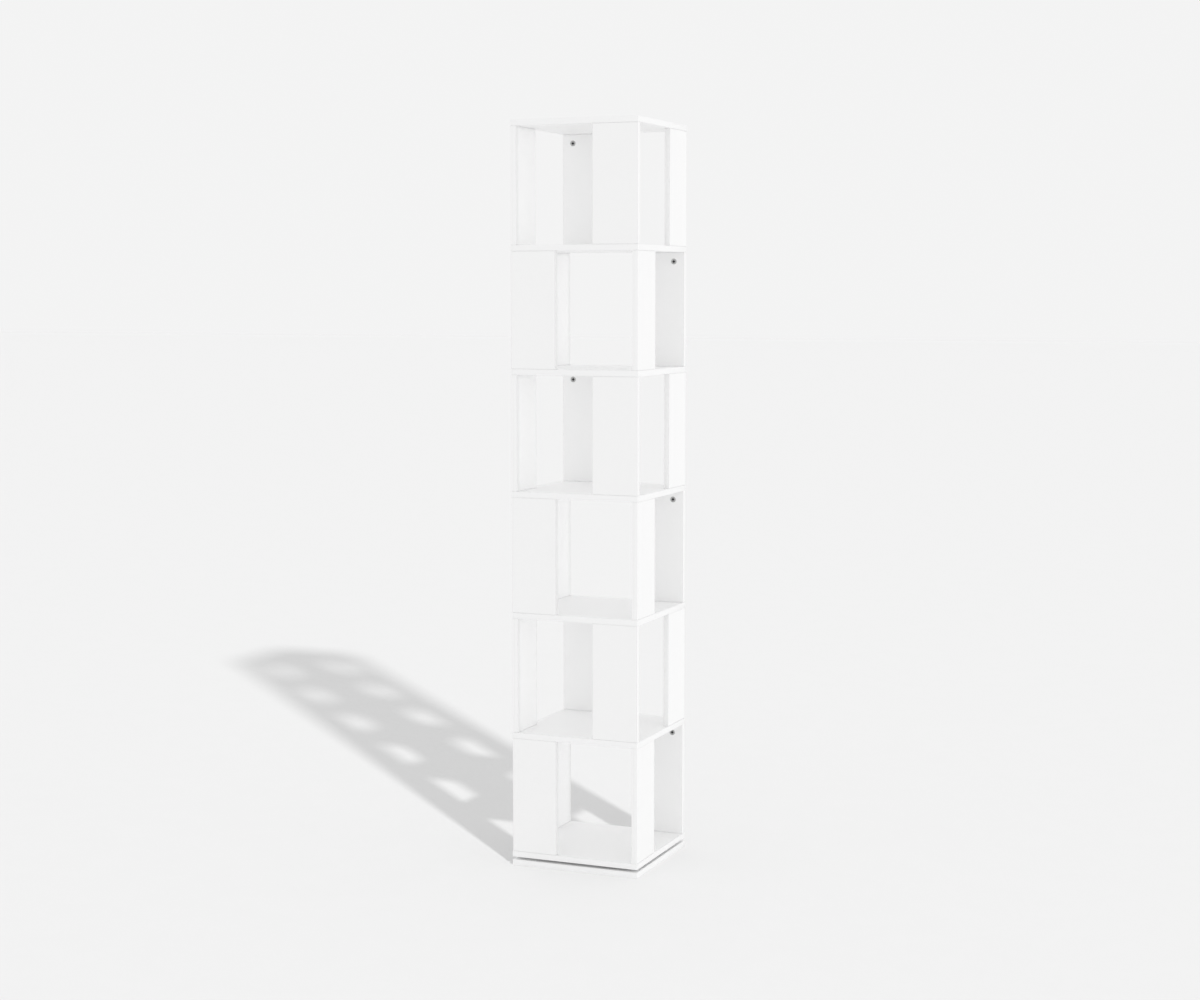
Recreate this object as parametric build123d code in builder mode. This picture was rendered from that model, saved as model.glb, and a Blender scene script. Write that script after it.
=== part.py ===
from build123d import *
from math import sqrt
import os

os.makedirs("parts", exist_ok=True)

# A square bookshelf tower of six open tiers that turns on a ball-bearing base.
# Millimetres, +Z up, origin in the middle of the base's underside, front towards -Y.

# Boards and panels
tower_side = 350.0
board_thickness = 15.0
base_thickness = 15.0
panel_width = 123.0
panel_height = 300.0
panel_inset = 1.0
tier_count = 6
face_names = ["front", "right", "back", "left"]
all_faces = range(len(face_names))
cam_faces = [face_names.index("front"), face_names.index("back")]
dowel_faces = [face_names.index("right"), face_names.index("left")]
quarter_turn = 360 / len(face_names)

# Cam locks in the heads of the front and back panels, and the bolts that reach them from the board above
cam_diameter = 15.0
cam_drop = 24.0
cam_backing = 2.5
cam_clearance = 0.1
cam_spacing_share = 0.52
bolt_diameter = 7.0
bolt_cam_gap = 0.2

# Dowels in every panel's foot, and in the heads of the right and left panels
dowel_diameter = 8.0
dowel_panel_depth = 20.0

# What the fixings share: few sides, because there are many of them
cam_sides = 16
fixing_sides = 6
fixing_clearance = 0.1
blind_hole_cover = 5.0

# Ball-bearing turntable between the base and the tower
turntable_height = 7.0
plate_set_back = 65.0
plate_thickness = 1.5
neck_bore_diameter = 30.0
neck_clearance = 0.08
collar_reach = 6.0
collar_clearance = 0.1
collar_head_room = 0.3
dish_slack = 2.0
ball_circle_diameter = 150.0
ball_count = 4
ball_clearance = 0.02
cage_rim = 6.0
cage_clearance = 0.15
cage_sides = 24
ball_hole_sides = 8
cage_room_share = 0.5

# Screws of the two turntable plates, and the hole in the base that a screwdriver goes through
screw_diameter = 4.0
screw_bite = 10.0
screw_head_diameter = 8.0
screw_head_height = 1.5
screw_margin = 12.0
access_hole_diameter = 14.0

# Heights of the boards and tiers
tower_floor = base_thickness + turntable_height
tier_pitch = panel_height + board_thickness


def board_bottom(level):
    """Underside of the board at a level, from the bottom board at 0 up to the top board."""
    return tower_floor + level * tier_pitch


def panel_foot(tier):
    """Lower end of a tier's panels, which stand on the board of the same number."""
    return board_bottom(tier) + board_thickness


def panel_head(tier):
    return panel_foot(tier) + panel_height


# Places of the panels and their fixings
panel_outer = tower_side / 2 - panel_inset
panel_inner = panel_outer - board_thickness
fixing_distance = panel_outer - board_thickness / 2
cam_spacing = panel_width * cam_spacing_share
cam_depth = board_thickness - cam_backing
blind_hole_depth = board_thickness - blind_hole_cover


def panel_middle(tier):
    """A panel's middle along its face: at the face's left end and its right end by turns."""
    hand = -1 if tier % 2 == 0 else 1
    return hand * (panel_outer - panel_width / 2)


def head_offsets(tier):
    return [panel_middle(tier) - cam_spacing / 2, panel_middle(tier) + cam_spacing / 2]


def cam_spots(tier):
    """A panel's two cam locks, as its face shows them."""
    return [(offset, panel_head(tier) - cam_drop) for offset in head_offsets(tier)]


def head_spots(tier):
    """The two bolts or dowels in a panel's head, seen from above on the front face."""
    return [(offset, -fixing_distance) for offset in head_offsets(tier)]


def foot_spot(tier):
    """The dowel in a panel's foot, seen from above on the front face."""
    return (panel_middle(tier), -fixing_distance)


def side_plane(face, distance):
    """An upright plane parallel to a face of the tower, with x to the right seen from outside."""
    return Plane.XZ.rotated((0, 0, quarter_turn * face)).offset(distance)


def level_plane(face, height):
    """A level plane turned by quarters, so that the given face is on its -Y side."""
    return Plane.XY.offset(height).rotated((0, 0, quarter_turn * face))


def side_planes(faces, distance):
    return [side_plane(face, distance) for face in faces]


def level_planes(faces, height):
    return [level_plane(face, height) for face in faces]


def save(piece, name):
    piece.part.label = name
    export_step(piece.part, f"parts/{name}.step")


# Panels: four upright boards in each tier, one at an end of every face
def make_panel(tier, face):
    head_hole_diameter = bolt_diameter if face in cam_faces else dowel_diameter
    head_hole_depth = cam_drop if face in cam_faces else dowel_panel_depth
    with BuildPart() as panel:
        with BuildSketch(side_plane(face, panel_inner)):
            with Locations((panel_middle(tier), panel_foot(tier) + panel_height / 2)):
                Rectangle(panel_width, panel_height)
        extrude(amount=board_thickness)
        if face in cam_faces:
            with BuildSketch(side_plane(face, panel_inner)):
                with Locations(*cam_spots(tier)):
                    RegularPolygon(cam_diameter / 2 + cam_clearance, cam_sides)
            extrude(amount=cam_depth, mode=Mode.SUBTRACT)
        with BuildSketch(level_plane(face, panel_head(tier))):
            with Locations(*head_spots(tier)):
                RegularPolygon(head_hole_diameter / 2 + fixing_clearance, fixing_sides)
        extrude(amount=-head_hole_depth, mode=Mode.SUBTRACT)
        with BuildSketch(level_plane(face, panel_foot(tier))):
            with Locations(foot_spot(tier)):
                RegularPolygon(dowel_diameter / 2 + fixing_clearance, fixing_sides)
        extrude(amount=dowel_panel_depth, mode=Mode.SUBTRACT)
    return panel


for tier in range(tier_count):
    for face, face_name in enumerate(face_names):
        save(make_panel(tier, face), f"tier_{tier + 1}_{face_name}_panel")


# Turntable sizes that follow from the ones above
plate_side = tower_side - 2 * plate_set_back
screw_pitch = plate_side - 2 * screw_margin
screw_circle = screw_pitch / sqrt(2)
pilot_depth = screw_bite + fixing_clearance
lower_plate_top = base_thickness + plate_thickness
upper_plate_bottom = tower_floor - plate_thickness
neck_inner = neck_bore_diameter / 2
neck_outer = neck_inner + plate_thickness
neck_guide = neck_outer + neck_clearance
collar_outer = neck_outer + collar_reach
collar_top = tower_floor - collar_head_room
collar_bottom = collar_top - plate_thickness
dish_top = collar_bottom - collar_clearance
dish_bottom = dish_top - plate_thickness
dish_inner = collar_outer + dish_slack
dish_outer = dish_inner + tower_floor - dish_top
ball_circle = ball_circle_diameter / 2
ball_radius = (upper_plate_bottom - lower_plate_top) / 2 - ball_clearance
ball_middle = (upper_plate_bottom + lower_plate_top) / 2
ball_hole = ball_radius + cage_clearance
cage_room = dish_bottom - lower_plate_top
cage_thickness = cage_room * cage_room_share
cage_bottom = lower_plate_top + (cage_room - cage_thickness) / 2
cage_outer = ball_circle + ball_radius + cage_rim


# Boards: the tower's floor, its shelves and its top
def make_board(level):
    bottom = board_bottom(level)
    with BuildPart() as board:
        with BuildSketch(Plane.XY.offset(bottom)):
            Rectangle(tower_side, tower_side)
        extrude(amount=board_thickness)
        if level > 0:
            with BuildSketch(*level_planes(cam_faces, bottom)):
                with Locations(*head_spots(level - 1)):
                    RegularPolygon(bolt_diameter / 2 + fixing_clearance, fixing_sides)
            with BuildSketch(*level_planes(dowel_faces, bottom)):
                with Locations(*head_spots(level - 1)):
                    RegularPolygon(dowel_diameter / 2 + fixing_clearance, fixing_sides)
            extrude(amount=blind_hole_depth, mode=Mode.SUBTRACT)
        else:
            with BuildSketch(Plane.XY.offset(bottom)):
                with GridLocations(screw_pitch, screw_pitch, 2, 2):
                    RegularPolygon(screw_diameter / 2 + fixing_clearance, fixing_sides)
            extrude(amount=pilot_depth, mode=Mode.SUBTRACT)
        if level < tier_count:
            with BuildSketch(*level_planes(all_faces, bottom + board_thickness)):
                with Locations(foot_spot(level)):
                    RegularPolygon(dowel_diameter / 2 + fixing_clearance, fixing_sides)
            extrude(amount=-blind_hole_depth, mode=Mode.SUBTRACT)
    return board


board_names = ["bottom_board"] + [f"shelf_{level}" for level in range(1, tier_count)] + ["top_board"]
for level, board_name in enumerate(board_names):
    save(make_board(level), board_name)

# Cam locks: one in every pocket, flush with the panel's inner face
with BuildPart() as cam_locks:
    for tier in range(tier_count):
        with BuildSketch(*side_planes(cam_faces, panel_inner)):
            with Locations(*cam_spots(tier)):
                RegularPolygon(cam_diameter / 2, cam_sides)
        extrude(amount=cam_depth)
save(cam_locks, "cam_locks")

# Cam bolts: from the board above down to the cam lock
with BuildPart() as cam_bolts:
    for tier in range(tier_count):
        bolt_end = panel_head(tier) - cam_drop + cam_diameter / 2 + bolt_cam_gap
        with BuildSketch(*level_planes(cam_faces, bolt_end)):
            with Locations(*head_spots(tier)):
                RegularPolygon(bolt_diameter / 2, fixing_sides)
        extrude(amount=panel_head(tier) + blind_hole_depth - bolt_end)
save(cam_bolts, "cam_bolts")

# Dowels: from the board below up into every panel's foot, and from the board above down into a head
with BuildPart() as panel_dowels:
    for tier in range(tier_count):
        with BuildSketch(*level_planes(all_faces, panel_foot(tier) - blind_hole_depth)):
            with Locations(foot_spot(tier)):
                RegularPolygon(dowel_diameter / 2, fixing_sides)
        with BuildSketch(*level_planes(dowel_faces, panel_head(tier) - dowel_panel_depth)):
            with Locations(*head_spots(tier)):
                RegularPolygon(dowel_diameter / 2, fixing_sides)
        extrude(amount=blind_hole_depth + dowel_panel_depth)
save(panel_dowels, "panel_dowels")

# Base plate: it stays still on the floor, with one hole that leads to the upper plate's screws
with BuildPart() as base_plate:
    with BuildSketch(Plane.XY):
        Rectangle(tower_side, tower_side)
        with Locations((0, -screw_circle)):
            Circle(access_hole_diameter / 2, mode=Mode.SUBTRACT)
    extrude(amount=base_thickness)
    with BuildSketch(Plane.XY.offset(base_thickness)):
        with GridLocations(screw_pitch, screw_pitch, 2, 2):
            RegularPolygon(screw_diameter / 2 + fixing_clearance, fixing_sides)
    extrude(amount=-pilot_depth, mode=Mode.SUBTRACT)
save(base_plate, "base_plate")


def plate_outline():
    """A turntable plate's square with its four screw holes, drawn in the sketch that is open."""
    Rectangle(plate_side, plate_side)
    with GridLocations(screw_pitch, screw_pitch, 2, 2):
        RegularPolygon(screw_diameter / 2 + fixing_clearance, fixing_sides, mode=Mode.SUBTRACT)


# Lower turntable plate: its neck rises through the upper plate and is rolled out into a collar
with BuildPart() as lower_plate:
    with BuildSketch(Plane.XY.offset(base_thickness)):
        plate_outline()
        Circle(neck_inner, mode=Mode.SUBTRACT)
    extrude(amount=plate_thickness)
    with BuildSketch(Plane.XZ):
        with BuildLine():
            Polyline(
                (neck_inner, base_thickness),
                (neck_outer, base_thickness),
                (neck_outer, collar_bottom),
                (collar_outer, collar_bottom),
                (collar_outer, collar_top),
                (neck_inner, collar_top),
                close=True,
            )
        make_face()
    revolve(axis=Axis.Z)
save(lower_plate, "turntable_lower_plate")

# Upper turntable plate: its middle is dished, so that the collar lies below the tower's floor
with BuildPart() as upper_plate:
    with BuildSketch(Plane.XY.offset(upper_plate_bottom)):
        plate_outline()
        Circle(dish_outer, mode=Mode.SUBTRACT)
    extrude(amount=plate_thickness)
    with BuildSketch(Plane.XZ):
        with BuildLine():
            Polyline(
                (neck_guide, dish_bottom),
                (dish_inner, dish_bottom),
                (dish_outer, upper_plate_bottom),
                (dish_outer, tower_floor),
                (dish_inner, dish_top),
                (neck_guide, dish_top),
                close=True,
            )
        make_face()
    revolve(axis=Axis.Z)
save(upper_plate, "turntable_upper_plate")

# Balls that roll between the two plates
with BuildPart(Plane.XY.offset(ball_middle)) as balls:
    with PolarLocations(ball_circle, ball_count):
        Sphere(ball_radius)
save(balls, "turntable_balls")

# Ball cage: a disc on the lower plate's neck that keeps the balls apart
with BuildPart() as cage:
    with BuildSketch(Plane.XY.offset(cage_bottom)):
        RegularPolygon(cage_outer, cage_sides)
        Circle(neck_guide, mode=Mode.SUBTRACT)
        with PolarLocations(ball_circle, ball_count):
            RegularPolygon(ball_hole, ball_hole_sides, major_radius=False, mode=Mode.SUBTRACT)
    extrude(amount=cage_thickness)
save(cage, "turntable_ball_cage")


# Plate screws: the lower plate's go down into the base, and the upper plate's up into the bottom board
def make_screws(seat, head_way):
    """Four screws whose heads lie on a plate's face, above it or below it as head_way is 1 or -1."""
    with BuildPart() as screws:
        with BuildSketch(Plane.XY.offset(seat)):
            with GridLocations(screw_pitch, screw_pitch, 2, 2):
                RegularPolygon(screw_head_diameter / 2, fixing_sides)
        extrude(amount=head_way * screw_head_height)
        with BuildSketch(Plane.XY.offset(seat)):
            with GridLocations(screw_pitch, screw_pitch, 2, 2):
                RegularPolygon(screw_diameter / 2, fixing_sides)
        extrude(amount=-head_way * (plate_thickness + screw_bite))
    return screws


save(make_screws(lower_plate_top, 1), "lower_plate_screws")
save(make_screws(upper_plate_bottom, -1), "upper_plate_screws")
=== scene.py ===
import math

import bmesh
import bpy
from mathutils import Matrix, Vector


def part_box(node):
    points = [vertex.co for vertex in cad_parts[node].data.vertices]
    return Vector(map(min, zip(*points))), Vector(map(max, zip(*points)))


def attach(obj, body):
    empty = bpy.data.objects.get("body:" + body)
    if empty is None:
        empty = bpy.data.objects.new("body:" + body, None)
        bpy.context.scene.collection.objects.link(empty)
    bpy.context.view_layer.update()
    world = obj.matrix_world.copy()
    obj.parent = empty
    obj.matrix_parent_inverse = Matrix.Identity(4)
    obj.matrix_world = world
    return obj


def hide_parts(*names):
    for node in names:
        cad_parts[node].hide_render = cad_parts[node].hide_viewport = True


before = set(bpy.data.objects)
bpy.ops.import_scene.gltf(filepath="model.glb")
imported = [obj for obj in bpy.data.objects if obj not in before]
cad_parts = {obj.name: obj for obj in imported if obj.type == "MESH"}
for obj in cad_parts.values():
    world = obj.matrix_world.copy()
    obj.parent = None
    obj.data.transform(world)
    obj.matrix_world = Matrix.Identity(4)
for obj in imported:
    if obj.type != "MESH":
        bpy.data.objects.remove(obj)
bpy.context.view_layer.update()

# Pieces, by the names that the frame gives them
FACES = ("front", "right", "back", "left")
TIER_COUNT = 6
TIERS = range(1, TIER_COUNT + 1)
SHELVES = [f"shelf_{level}" for level in range(1, TIER_COUNT)]
BOARDS = ["bottom_board", *SHELVES, "top_board"]

# Sizes in metres, for what the frame doesn't give
MM = 0.001
EDGE_RADIUS = 0.9 * MM
SEAM_WIDTH = 0.25 * MM
POCKET_GAP = 0.15 * MM
WELD_DISTANCE = 0.001 * MM
FLOOR_REACH = 60.0

# A cam lock's face, in shares of its radius
CHAMFER_SHARE = 0.05
RIM_SHARE = 0.80
SINK_SHARE = 0.04
CROSS_ARM_SHARE = 0.50
CROSS_WIDTH_SHARE = 0.40
CROSS_DEPTH_SHARE = 1.20
CROSS_TAPER_SHARE = 0.80

# Meshes: axes, steps round a curve, and material slots of boards and of cam locks
AXES = range(3)
Y_AXIS = 1
Z_AXIS = 2
UNIT = 1.0
EDGE_SEGMENTS = 3
ROUND_PROFILE = 0.5
ROUND_SEGMENTS = 40
STRAIGHT_ON = 0.999
FACE_SLOT, EDGE_SLOT, SEAM_SLOT = range(3)
ZINC_SLOT, RECESS_SHADE_SLOT = range(2)

# Surfaces: scale and detail of the noises, height of the bumps in metres, and gloss
CLOUD_SCALE = 9.0
CLOUD_DETAIL = 4.0
SMEAR_SCALE = 35.0
SMEAR_DETAIL = 5.0
PEEL_DETAIL = 1.0
GRAIN_DETAIL = 3.0
ALONG_GRAIN = (1.0, 1.0, 0.08)
COAT_BUMP = 0.1 * MM
GRAIN_BUMP = 0.05 * MM
BOARD_GLOSS = 0.45
FLOOR_GLOSS = 0.05
METALLIC = 1.0
OPAQUE = 1.0
WHITE = (1.0, 1.0, 1.0, OPAQUE)

# Camera, fitted to the photo's 1200 x 1000 frame: lengths in metres, angles in degrees
IMAGE_WIDTH = 1200
SENSOR_WIDTH = 36.0
FOCAL_PIXELS = 2121.1
CAMERA_AZIMUTH = 22.54
CAMERA_DISTANCE = 5.5314
CAMERA_HEIGHT = 1.4949
CAMERA_PITCH = -5.62

# Light: a white room and two far lamps, with their headings, heights and spreads in degrees
ROOM_LEVEL = 0.9
LAMPS = {
    "side_lamp": {"heading": 90.0, "height": 1.0, "strength": 0.27, "spread": 2.0},
    "floor_lamp": {"heading": 135.2, "height": 30.3, "strength": 2.13, "spread": 2.6},
}


# Materials

def new_material(name):
    """A node material, with its nodes, its links and its principled shader."""
    material = bpy.data.materials.new(name)
    material.use_nodes = True
    nodes = material.node_tree.nodes
    return material, nodes, material.node_tree.links, nodes["Principled BSDF"]


def grey(level):
    """A colour without a tint."""
    return (level, level, level)


def add_noise(nodes, links, scale, detail, stretch=None):
    """A noise texture in object space, stretched along an axis if asked for."""
    coordinates = nodes.new("ShaderNodeTexCoord")
    source = coordinates.outputs["Object"]
    if stretch:
        mapping = nodes.new("ShaderNodeMapping")
        mapping.inputs["Scale"].default_value = stretch
        links.new(source, mapping.inputs["Vector"])
        source = mapping.outputs["Vector"]
    noise = nodes.new("ShaderNodeTexNoise")
    noise.inputs["Scale"].default_value = scale
    noise.inputs["Detail"].default_value = detail
    links.new(source, noise.inputs["Vector"])
    return noise.outputs["Fac"]


def add_ramp(nodes, links, factor, low, high, target):
    """Feeds a texture to a socket as a colour between two ends."""
    ramp = nodes.new("ShaderNodeValToRGB")
    for element, colour in zip(ramp.color_ramp.elements, (low, high)):
        element.color = (*colour, OPAQUE)
    links.new(factor, ramp.inputs["Fac"])
    links.new(ramp.outputs["Color"], target)


def add_bump(nodes, links, height, shader, strength, distance):
    """Raises a texture into bumps on a shader's surface."""
    bump = nodes.new("ShaderNodeBump")
    bump.inputs["Strength"].default_value = strength
    bump.inputs["Distance"].default_value = distance
    links.new(height, bump.inputs["Height"])
    links.new(bump.outputs["Normal"], shader.inputs["Normal"])


def coated(name, tones, roughness, peel_scale, peel_strength, gloss):
    """A pale coat, of melamine or paint: finely pearled, with faint clouds in its tone."""
    material, nodes, links, shader = new_material(name)
    clouds = add_noise(nodes, links, CLOUD_SCALE, CLOUD_DETAIL)
    add_ramp(nodes, links, clouds, grey(tones[0]), grey(tones[1]), shader.inputs["Base Color"])
    smears = add_noise(nodes, links, SMEAR_SCALE, SMEAR_DETAIL)
    add_ramp(nodes, links, smears, grey(roughness[0]), grey(roughness[1]), shader.inputs["Roughness"])
    peel = add_noise(nodes, links, peel_scale, PEEL_DETAIL)
    add_bump(nodes, links, peel, shader, peel_strength, COAT_BUMP)
    shader.inputs["Specular IOR Level"].default_value = gloss
    return material


def grained(name, dark, light, roughness, grain_scale, grain_strength, metallic=0.0, stretch=None):
    """Metal, nylon, wood, glue or painted shade with a grain in its tone, gloss and surface."""
    material, nodes, links, shader = new_material(name)
    grain = add_noise(nodes, links, grain_scale, GRAIN_DETAIL, stretch)
    add_ramp(nodes, links, grain, dark, light, shader.inputs["Base Color"])
    add_ramp(nodes, links, grain, grey(roughness[0]), grey(roughness[1]), shader.inputs["Roughness"])
    add_bump(nodes, links, grain, shader, grain_strength, GRAIN_BUMP)
    shader.inputs["Metallic"].default_value = metallic
    return material


board_face = coated(
    "white_melamine_face",
    tones=(0.976, 0.988),
    roughness=(0.36, 0.46),
    peel_scale=900.0,
    peel_strength=0.25,
    gloss=BOARD_GLOSS,
)
board_edge = coated(
    "white_edge_band",
    tones=(0.974, 0.986),
    roughness=(0.30, 0.38),
    peel_scale=420.0,
    peel_strength=0.12,
    gloss=BOARD_GLOSS,
)
board_seam = grained(
    "edge_band_glue_line",
    dark=grey(0.50),
    light=grey(0.62),
    roughness=(0.60, 0.75),
    grain_scale=300.0,
    grain_strength=0.10,
)
cast_zinc = grained(
    "die_cast_zinc",
    dark=grey(0.42),
    light=grey(0.56),
    roughness=(0.34, 0.50),
    grain_scale=700.0,
    grain_strength=0.30,
    metallic=METALLIC,
)
# Painted shade: the zinc cam lock's cross recess is coloured near-black to stand for the shade deep
# inside it
cam_recess_painted_shade = grained(
    "cam_recess_painted_shade",
    dark=grey(0.015),
    light=grey(0.04),
    roughness=(0.55, 0.75),
    grain_scale=900.0,
    grain_strength=0.30,
    metallic=METALLIC,
)
plated_steel = grained(
    "zinc_plated_steel",
    dark=(0.55, 0.56, 0.58),
    light=(0.68, 0.69, 0.71),
    roughness=(0.28, 0.44),
    grain_scale=60.0,
    grain_strength=0.15,
    metallic=METALLIC,
)
screw_steel = grained(
    "plated_screw_steel",
    dark=grey(0.55),
    light=grey(0.70),
    roughness=(0.25, 0.40),
    grain_scale=500.0,
    grain_strength=0.15,
    metallic=METALLIC,
)
ball_steel = grained(
    "polished_ball_steel",
    dark=(0.74, 0.74, 0.76),
    light=(0.80, 0.80, 0.82),
    roughness=(0.08, 0.14),
    grain_scale=300.0,
    grain_strength=0.03,
    metallic=METALLIC,
)
cage_nylon = grained(
    "natural_nylon",
    dark=(0.80, 0.80, 0.74),
    light=(0.86, 0.86, 0.80),
    roughness=(0.42, 0.55),
    grain_scale=80.0,
    grain_strength=0.05,
)
beech = grained(
    "beech_dowel",
    dark=(0.62, 0.44, 0.27),
    light=(0.80, 0.62, 0.42),
    roughness=(0.55, 0.70),
    grain_scale=90.0,
    grain_strength=0.10,
    stretch=ALONG_GRAIN,
)
floor_paint = coated(
    "pale_floor",
    tones=(0.715, 0.725),
    roughness=(0.80, 0.90),
    peel_scale=40.0,
    peel_strength=0.02,
    gloss=FLOOR_GLOSS,
)
board_coats = (board_face, board_edge, board_seam)
cam_zinc_and_painted_shade = (cast_zinc, cam_recess_painted_shade)


# Meshes

def solid_boxes(node):
    """The boxes of a node's separate solids, as pairs of lowest and highest corners."""
    bm = bmesh.new()
    bm.from_mesh(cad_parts[node].data)
    bmesh.ops.remove_doubles(bm, verts=bm.verts, dist=WELD_DISTANCE)
    seen = set()
    boxes = []
    for start in bm.verts:
        if start in seen:
            continue
        seen.add(start)
        solid = []
        waiting = [start]
        while waiting:
            vertex = waiting.pop()
            solid.append(vertex.co.copy())
            for edge in vertex.link_edges:
                other = edge.other_vert(vertex)
                if other not in seen:
                    seen.add(other)
                    waiting.append(other)
        low = Vector(min(point[axis] for point in solid) for axis in AXES)
        high = Vector(max(point[axis] for point in solid) for axis in AXES)
        boxes.append((low, high))
    bm.free()
    return boxes


def finish_mesh(bm, name, materials):
    """Turns a mesh under construction into one with materials."""
    bmesh.ops.recalc_face_normals(bm, faces=bm.faces)
    mesh = bpy.data.meshes.new(name)
    bm.to_mesh(mesh)
    bm.free()
    for material in materials:
        mesh.materials.append(material)
    return mesh


def eased_box(size, broad_axis):
    """A board round the origin: broad faces, eased edge bands, and a seam round each face."""
    bm = bmesh.new()
    bmesh.ops.create_cube(bm, size=UNIT, matrix=Matrix.Diagonal((*size, UNIT)))
    bmesh.ops.bevel(
        bm,
        geom=bm.edges[:],
        offset=EDGE_RADIUS,
        segments=EDGE_SEGMENTS,
        profile=ROUND_PROFILE,
        affect="EDGES",
    )
    for face in bm.faces:
        face.material_index = EDGE_SLOT
        face.smooth = True
    broad = [face for face in bm.faces if abs(face.normal[broad_axis]) > STRAIGHT_ON]
    for face in bmesh.ops.inset_individual(bm, faces=broad, thickness=SEAM_WIDTH)["faces"]:
        face.material_index = SEAM_SLOT
        face.smooth = False
    for face in broad:
        face.material_index = FACE_SLOT
        face.smooth = False
    return bm


def ring(bm, centre, radius, y):
    """Points on a circle that faces along Y."""
    turns = [math.tau * step / ROUND_SEGMENTS for step in range(ROUND_SEGMENTS)]
    return [bm.verts.new((centre[0] + radius * math.cos(turn), y, centre[1] + radius * math.sin(turn)))
            for turn in turns]


def loop_edges(bm, points):
    """The edges of a closed loop of points, made where they are missing."""
    pairs = list(zip(points, points[1:] + points[:1]))
    return [bm.edges.get(pair) or bm.edges.new(pair) for pair in pairs]


def wall(bm, near, far, slot, smooth):
    """Four-sided faces between two loops of points."""
    for k, point in enumerate(near):
        after = (k + 1) % len(near)
        face = bm.faces.new((point, near[after], far[after], far[k]))
        face.material_index = slot
        face.smooth = smooth


def fill(bm, edges, slot):
    """Flat faces that look along +Y, inside an outline and round the loops within it."""
    for item in bmesh.ops.triangle_fill(bm, edges=edges, use_beauty=True, normal=(0, 1, 0))["geom"]:
        if isinstance(item, bmesh.types.BMFace):
            item.material_index = slot


def panel_mesh(name, size, pockets, pocket_radius, pocket_depth):
    """An upright panel, thick along Y, with round pockets for the cam locks in its +Y face."""
    bm = eased_box(size, Y_AXIS)
    if pockets:
        broad = [face for face in bm.faces if face.material_index == FACE_SLOT]
        inner = max(broad, key=lambda face: face.calc_center_median().y)
        inner_y = inner.calc_center_median().y
        edges = list(inner.edges)
        bmesh.ops.delete(bm, geom=[inner], context="FACES_ONLY")
        mouths = [ring(bm, spot, pocket_radius, inner_y) for spot in pockets]
        for mouth in mouths:
            edges += loop_edges(bm, mouth)
        fill(bm, edges, FACE_SLOT)
        for spot, mouth in zip(pockets, mouths):
            floor = ring(bm, spot, pocket_radius, inner_y - pocket_depth)
            wall(bm, mouth, floor, SEAM_SLOT, True)
            bm.faces.new(floor).material_index = SEAM_SLOT
    return finish_mesh(bm, name, board_coats)


def cross_outline(arm, width):
    """The twelve corners of a cross, as (x, z) pairs."""
    half = width / 2
    corners = [(arm, -half), (arm, half), (half, half), (half, arm), (-half, arm), (-half, half)]
    return corners + [(-x, -z) for x, z in corners]


def cam_mesh(radius, depth):
    """A cam lock with its face at +Y: a chamfered rim, a sunk middle and a deep cross recess, painted
    near-black as shade.
    """
    bm = bmesh.new()
    face_y = depth / 2
    sunk_y = face_y - SINK_SHARE * radius
    profile = [
        (radius, -face_y),
        (radius, face_y - CHAMFER_SHARE * radius),
        (radius - CHAMFER_SHARE * radius, face_y),
        (RIM_SHARE * radius, face_y),
        (RIM_SHARE * radius - SINK_SHARE * radius, sunk_y),
    ]
    rings = [ring(bm, (0, 0), reach, y) for reach, y in profile]
    for near, far in zip(rings, rings[1:]):
        wall(bm, near, far, ZINC_SLOT, True)
    bm.faces.new(rings[0])
    outline = cross_outline(CROSS_ARM_SHARE * radius, CROSS_WIDTH_SHARE * radius)
    floor_y = face_y - CROSS_DEPTH_SHARE * radius
    mouth = [bm.verts.new((x, sunk_y, z)) for x, z in outline]
    floor = [bm.verts.new((CROSS_TAPER_SHARE * x, floor_y, CROSS_TAPER_SHARE * z)) for x, z in outline]
    fill(bm, loop_edges(bm, rings[-1]) + loop_edges(bm, mouth), ZINC_SLOT)
    # The cross recess's walls and floor take the near-black painted shade
    wall(bm, mouth, floor, RECESS_SHADE_SLOT, False)
    bm.faces.new(floor).material_index = RECESS_SHADE_SLOT
    return finish_mesh(bm, "cam_lock", cam_zinc_and_painted_shade)


# Placing

def place(mesh, name, matrix, body, node):
    """Puts a mesh in the scene in place of a CAD node."""
    piece = bpy.data.objects.new(name, mesh)
    piece.matrix_world = matrix
    bpy.context.scene.collection.objects.link(piece)
    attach(piece, body)
    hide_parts(node)


def inward(face):
    """The turn that takes a panel's +Y side to the tower's inside on a face."""
    return Matrix.Rotation(math.tau * FACES.index(face) / len(FACES), 4, "Z")


def holds(low, high, point):
    """Whether a box has a point inside it."""
    return all(low[axis] < point[axis] < high[axis] for axis in AXES)


def add_lamp(name, heading, height, strength, spread):
    """A far lamp: its heading is counted from the tower's back, clockwise from above."""
    light = bpy.data.lights.new(name, "SUN")
    light.energy = strength
    light.angle = math.radians(spread)
    lamp = bpy.data.objects.new(name, light)
    lamp.rotation_euler = (math.pi / 2 - math.radians(height), 0, math.pi - math.radians(heading))
    bpy.context.scene.collection.objects.link(lamp)
    return lamp


# Boards and base plate
for name in BOARDS + ["base_plate"]:
    low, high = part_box(name)
    mesh = finish_mesh(eased_box(high - low, Z_AXIS), name, board_coats)
    body = "base" if name == "base_plate" else "tower"
    place(mesh, f"{name}_board", Matrix.Translation((low + high) / 2), body, name)

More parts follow.
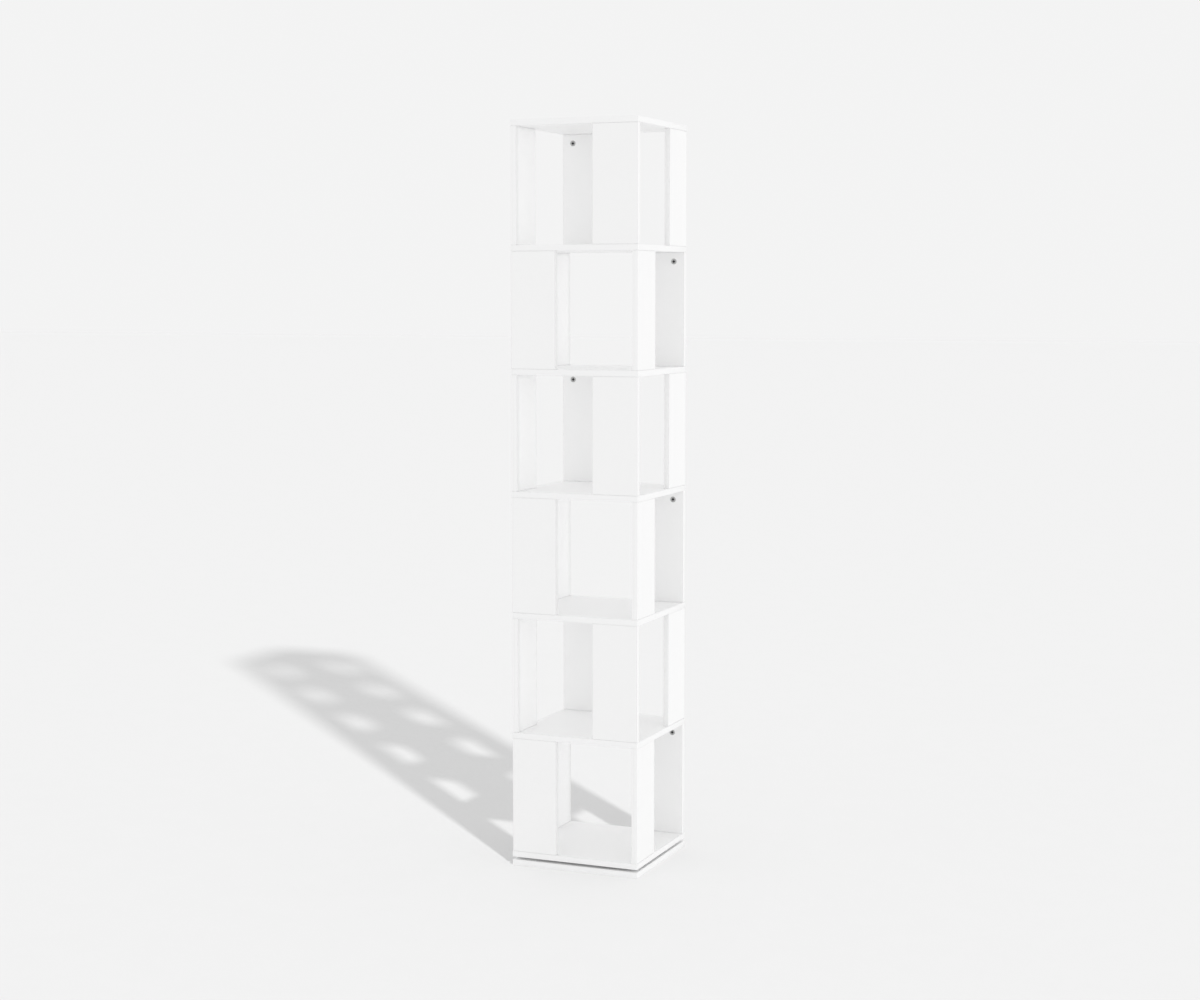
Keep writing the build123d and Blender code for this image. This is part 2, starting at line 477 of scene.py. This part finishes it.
# Panels, with pockets in those that hold cam locks: the front and back ones, which are thick along Y
cams = solid_boxes("cam_locks")
cam_low, cam_high = cams[0]
cam_radius = (cam_high - cam_low).z / 2
cam_depth = (cam_high - cam_low).y
panel_models = {}
cam_places = []
for tier in TIERS:
    for face in FACES:
        node = f"tier_{tier}_{face}_panel"
        low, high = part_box(node)
        stand = Matrix.Translation((low + high) / 2) @ inward(face)
        own = [(a + b) / 2 for a, b in cams if holds(low, high, (a + b) / 2)]
        local = [stand.inverted() @ point for point in own]
        cam_places += [stand @ Matrix.Translation(point) for point in local]
        kind = "cam_panel" if local else "dowel_panel"
        if kind not in panel_models:
            size = [abs(value) for value in stand.inverted().to_3x3() @ (high - low)]
            pockets = [(point.x, point.z) for point in local]
            panel_models[kind] = panel_mesh(kind, size, pockets, cam_radius + POCKET_GAP, cam_depth)
        place(panel_models[kind], f"{node}_board", stand, "tower", node)

# Cam locks, all in one piece
cam_model = cam_mesh(cam_radius, cam_depth)
all_cams = bmesh.new()
for spot in cam_places:
    one = cam_model.copy()
    one.transform(spot)
    all_cams.from_mesh(one)
    bpy.data.meshes.remove(one)
bpy.data.meshes.remove(cam_model)
cam_set = finish_mesh(all_cams, "cam_locks", cam_zinc_and_painted_shade)
place(cam_set, "cam_lock_set", Matrix.Identity(4), "tower", "cam_locks")

# Pieces that keep the CAD shape
kept = {
    "turntable_lower_plate": plated_steel,
    "turntable_upper_plate": plated_steel,
    "lower_plate_screws": screw_steel,
    "upper_plate_screws": screw_steel,
    "turntable_balls": ball_steel,
    "turntable_ball_cage": cage_nylon,
    "cam_bolts": screw_steel,
    "panel_dowels": beech,
}
for node, material in kept.items():
    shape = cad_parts[node].data
    shape.materials.clear()
    shape.materials.append(material)

# Floor
corners = [
    (-FLOOR_REACH, -FLOOR_REACH, 0),
    (FLOOR_REACH, -FLOOR_REACH, 0),
    (FLOOR_REACH, FLOOR_REACH, 0),
    (-FLOOR_REACH, FLOOR_REACH, 0),
]
floor_mesh = bpy.data.meshes.new("floor")
floor_mesh.from_pydata(corners, [], [range(len(corners))])
floor_mesh.materials.append(floor_paint)
floor = bpy.data.objects.new("floor", floor_mesh)
bpy.context.scene.collection.objects.link(floor)

# Lamps: the floor lamp lights the floor alone, where the tower throws its shadow
lamps = {name: add_lamp(name, **settings) for name, settings in LAMPS.items()}
lit_by_floor_lamp = bpy.data.collections.new("lit_by_floor_lamp")
lit_by_floor_lamp.objects.link(floor)
lamps["floor_lamp"].light_linking.receiver_collection = lit_by_floor_lamp

# Room
room = bpy.data.worlds.new("white_room")
room.use_nodes = True
walls = room.node_tree.nodes["Background"]
walls.inputs["Color"].default_value = WHITE
walls.inputs["Strength"].default_value = ROOM_LEVEL
bpy.context.scene.world = room
bpy.context.scene.view_settings.view_transform = "Standard"

# Camera
turn = math.radians(CAMERA_AZIMUTH)
away = Vector((math.sin(turn), -math.cos(turn), 0))
camera_data = bpy.data.cameras.new("camera")
camera_data.sensor_fit = "HORIZONTAL"
camera_data.sensor_width = SENSOR_WIDTH
camera_data.lens = FOCAL_PIXELS / IMAGE_WIDTH * SENSOR_WIDTH
camera = bpy.data.objects.new("camera", camera_data)
camera.location = away * CAMERA_DISTANCE + Vector((0, 0, CAMERA_HEIGHT))
camera.rotation_euler = (math.pi / 2 + math.radians(CAMERA_PITCH), 0, turn)
bpy.context.scene.collection.objects.link(camera)
bpy.context.scene.camera = camera
